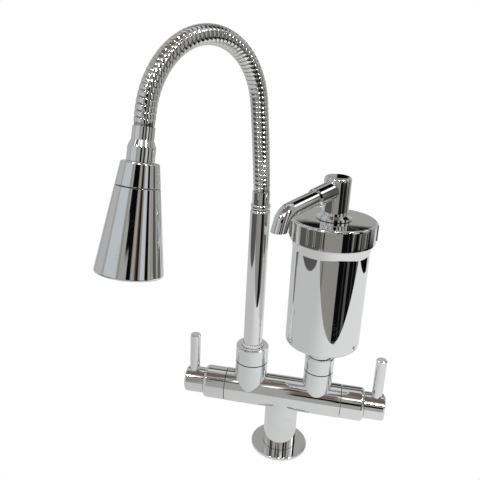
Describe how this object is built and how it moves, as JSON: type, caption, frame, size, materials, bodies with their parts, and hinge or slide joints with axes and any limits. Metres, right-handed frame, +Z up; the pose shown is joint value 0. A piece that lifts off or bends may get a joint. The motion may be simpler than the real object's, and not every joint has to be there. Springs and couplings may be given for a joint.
{
  "type": "drinking water filter tap",
  "caption": "Deck-mounted lever tap with a flexible gooseneck spray and an upright water filter canister with its own small drinking spout.",
  "frame": {"origin": "centre of the threaded inlet, on the deck plane at the base flange's underside", "axes": "+Z up, +X along the bar towards the filter outlet, -Y towards the user"},
  "size_m": [0.2023, 0.1748, 0.3544],
  "materials": {
    "chrome": "polished chrome plate on brass",
    "hose_steel": "polished ribbed metal hose",
    "brass": "turned brass",
    "steel": "bright steel",
    "rubber": "matt black rubber",
    "ceramic": "lapped white ceramic",
    "white_plastic": "moulded",
    "grey_plastic": "moulded",
    "liner_plastic": "smooth tube",
    "filter_media": "pressed carbon"
  },
  "bodies": {
    "root": {"base_flange": "chrome", "base_seal": "rubber", "tap_body": "chrome", "left_seat_washer": "rubber", "left_valve_housing": "brass", "left_fixed_disc": "ceramic", "left_bonnet_sleeve": "chrome", "right_seat_washer": "rubber", "right_valve_housing": "brass", "right_fixed_disc": "ceramic", "right_bonnet_sleeve": "chrome", "spout_nut": "chrome", "union_nut": "chrome", "inlet_stub": "chrome", "stub_seals": "rubber", "filter_housing": "chrome", "housing_collar": "chrome", "filter_block": "filter_media", "block_bottom_cap": "white_plastic", "block_top_cap": "white_plastic", "outlet_stub_seal": "rubber"},
    "left_lever": {"left_turning_disc": "ceramic", "left_spindle": "brass", "left_spindle_seals": "rubber", "left_lever_hub": "chrome", "left_lever_rod": "chrome", "left_grub_screw": "steel"},
    "right_lever": {"right_turning_disc": "ceramic", "right_spindle": "brass", "right_spindle_seals": "rubber", "right_lever_hub": "chrome", "right_lever_rod": "chrome", "right_grub_screw": "steel"},
    "spout": {"spout_spigot": "brass", "spout_seals": "rubber", "slip_sleeve": "white_plastic", "riser_tube": "chrome", "riser_trim_ring": "white_plastic", "lower_ferrule": "chrome", "gooseneck_hose": "hose_steel", "hose_liner": "liner_plastic", "upper_ferrule": "chrome", "head_neck": "chrome", "head_collar": "chrome", "head_seal": "rubber", "spray_body": "white_plastic"},
    "spray_cone": {"head_cone": "chrome", "spray_plate": "grey_plastic"},
    "cap_lift": {"cap_seal": "rubber"},
    "cap": {"screw_cap": "chrome"},
    "filter_spout": {"post_washer": "white_plastic", "spout_post": "chrome", "post_circlip": "steel", "arm_sleeve": "chrome", "drink_tube": "chrome", "outlet_insert": "grey_plastic"}
  },
  "joints": [
    {"name": "left_lever_turn", "type": "hinge", "parent": "root", "child": "left_lever", "pos_m": [-0.0806, 0, 0.0535], "axis": [1, 0, 0], "range_deg": [0, 90]},
    {"name": "right_lever_turn", "type": "hinge", "parent": "root", "child": "right_lever", "pos_m": [0.0806, 0, 0.0535], "axis": [1, 0, 0], "range_deg": [0, 90]},
    {"name": "spout_swivel", "type": "hinge", "parent": "root", "child": "spout", "pos_m": [-0.0293, 0, 0.09], "axis": [0, 0, 1], "continuous": true},
    {"name": "spray_twist", "type": "hinge", "parent": "spout", "child": "spray_cone", "pos_m": [-0.08758, -0.10282, 0.29312], "axis": [-0.056, -0.1795, -0.9822], "range_deg": [0, 90]},
    {"name": "cap_lift", "type": "slide", "parent": "root", "child": "cap_lift", "axis": [0, 0, 1], "range_m": [0, 0.009]},
    {"name": "cap_turn", "type": "hinge", "parent": "cap_lift", "child": "cap", "pos_m": [0.0293, 0, 0.21], "axis": [0, 0, 1], "range_deg": [0, 1080]},
    {"name": "filter_spout_swivel", "type": "hinge", "parent": "cap_lift", "child": "filter_spout", "pos_m": [0.0293, 0, 0.24], "axis": [0, 0, 1], "range_deg": [-43, 287]}
  ],
  "couplings": [
    {"joint": "cap_lift", "follows": "cap_turn", "m_per_rad": 0.00047746}
  ]
}
